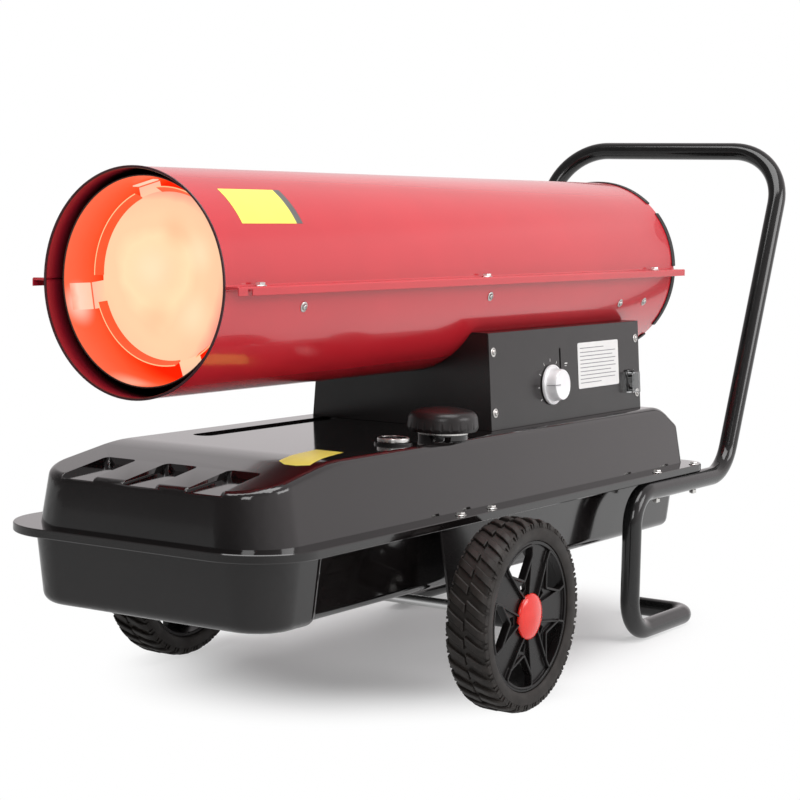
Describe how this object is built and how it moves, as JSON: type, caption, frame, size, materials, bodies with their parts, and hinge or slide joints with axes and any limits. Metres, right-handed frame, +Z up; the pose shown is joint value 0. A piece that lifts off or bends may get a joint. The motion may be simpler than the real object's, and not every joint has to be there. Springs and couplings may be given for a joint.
{
  "type": "forced air heater",
  "caption": "Wheeled oil-fired forced air heater: sheet metal barrel with burner and fan above a pressed fuel tank, with controls, a bent tube handle and rear legs.",
  "frame": {"origin": "on the floor under the middle of the heater's bounding box", "axes": "+X from the hot outlet to the air inlet and handle, -Y to the control side, +Z up"},
  "size_m": [1.165, 0.495, 0.6065],
  "materials": {
    "barrel_red": "gloss",
    "tank_black": "gloss",
    "housing_black": "satin",
    "tube_black": "gloss",
    "hot_steel": "matte, heat tinted",
    "zinc_steel": "satin",
    "cast_aluminium": "satin",
    "motor_grey": "satin",
    "polished_steel": "polished",
    "brass": "satin",
    "black_plastic": "satin",
    "grey_plastic": "satin",
    "knob_silver": "satin",
    "clear_plastic": "clear",
    "red_plastic": "gloss",
    "ceramic_white": "gloss",
    "tyre_rubber": "matte",
    "seal_rubber": "matte"
  },
  "bodies": {
    "heater": {"barrel_lower_shell": "barrel_red", "barrel_upper_shell": "barrel_red", "lip_screws": "zinc_steel", "hex_nuts": "zinc_steel", "sheet_screws": "zinc_steel", "combustion_chamber": "hot_steel", "chamber_supports": "zinc_steel", "flame_baffle": "hot_steel", "burner_head": "hot_steel", "fuel_nozzle": "brass", "igniter_electrodes": "ceramic_white", "photocell": "black_plastic", "motor_housing": "motor_grey", "motor_bracket": "zinc_steel", "pump_body": "cast_aluminium", "pump_cover": "cast_aluminium", "rear_guard": "tube_black", "guard_clips": "zinc_steel", "rim_trim": "seal_rubber", "housing_frame": "housing_black", "control_panel": "housing_black", "side_cover": "housing_black", "thermostat_body": "grey_plastic", "switch_body": "black_plastic", "ignition_transformer": "grey_plastic", "cord_gland": "black_plastic", "fuel_line": "brass", "air_line": "seal_rubber", "tank_upper": "tank_black", "tank_lower": "tank_black", "drain_plug": "zinc_steel", "filler_neck": "zinc_steel", "filler_strainer": "grey_plastic", "gauge_body": "black_plastic", "gauge_lens": "clear_plastic", "wheel_brackets": "housing_black", "axle": "polished_steel", "wheel_washers": "zinc_steel", "cotter_pins": "zinc_steel", "flange_bolts": "zinc_steel", "handle_frame": "tube_black", "foot_plugs": "black_plastic"},
    "fan_rotor": {"fan": "cast_aluminium", "motor_shaft": "polished_steel", "pump_rotor": "zinc_steel", "pump_vanes": "black_plastic"},
    "knob": {"thermostat_knob": "knob_silver"},
    "rocker": {"switch_rocker": "black_plastic"},
    "flip_cover": {"switch_cover": "clear_plastic"},
    "gasket": {"cap_gasket": "seal_rubber"},
    "cap": {"filler_cap": "black_plastic"},
    "float": {"float_arm": "zinc_steel", "float_ball": "black_plastic"},
    "needle": {"gauge_needle": "red_plastic"},
    "wheel_near": {"tyre_near": "tyre_rubber", "rim_near": "black_plastic", "hub_cap_near": "red_plastic"},
    "wheel_far": {"tyre_far": "tyre_rubber", "rim_far": "black_plastic", "hub_cap_far": "red_plastic"}
  },
  "joints": [
    {"name": "fan_spin", "type": "hinge", "parent": "heater", "child": "fan_rotor", "pos_m": [0.16, 0, 0.439], "axis": [1, 0, 0], "continuous": true},
    {"name": "knob_turn", "type": "hinge", "parent": "heater", "child": "knob", "pos_m": [0.0345, -0.117, 0.31339], "axis": [0, 0.9975, -0.0706], "range_deg": [0, 270]},
    {"name": "rocker_tilt", "type": "hinge", "parent": "heater", "child": "rocker", "pos_m": [0.2325, -0.11667, 0.30385], "axis": [1, 0, 0], "range_deg": [0, 20]},
    {"name": "cover_flip", "type": "hinge", "parent": "heater", "child": "flip_cover", "pos_m": [0.2325, -0.11846, 0.31821], "axis": [-1, 0, 0], "range_deg": [0, 100]},
    {"name": "cap_lift", "type": "slide", "parent": "heater", "child": "gasket", "axis": [0, 0, 1], "range_m": [0, 0.009]},
    {"name": "cap_turn", "type": "hinge", "parent": "gasket", "child": "cap", "pos_m": [-0.1935, -0.113, 0.285], "axis": [0, 0, 1], "range_deg": [0, 540]},
    {"name": "float_lift", "type": "hinge", "parent": "heater", "child": "float", "pos_m": [-0.2735, -0.103, 0.217], "axis": [0, 1, 0], "range_deg": [0, 65]},
    {"name": "needle_turn", "type": "hinge", "parent": "heater", "child": "needle", "pos_m": [-0.2735, -0.103, 0.2745], "axis": [0, 0, -1], "range_deg": [0, 98]},
    {"name": "near_wheel_spin", "type": "hinge", "parent": "heater", "child": "wheel_near", "pos_m": [-0.2231, -0.2215, 0.1], "axis": [0, 1, 0], "continuous": true},
    {"name": "far_wheel_spin", "type": "hinge", "parent": "heater", "child": "wheel_far", "pos_m": [-0.2231, 0.2215, 0.1], "axis": [0, 1, 0], "continuous": true}
  ],
  "couplings": [
    {"joint": "cap_lift", "follows": "cap_turn", "m_per_rad": 0.00095493},
    {"joint": "needle_turn", "follows": "float_lift", "ratio": 1.5}
  ]
}
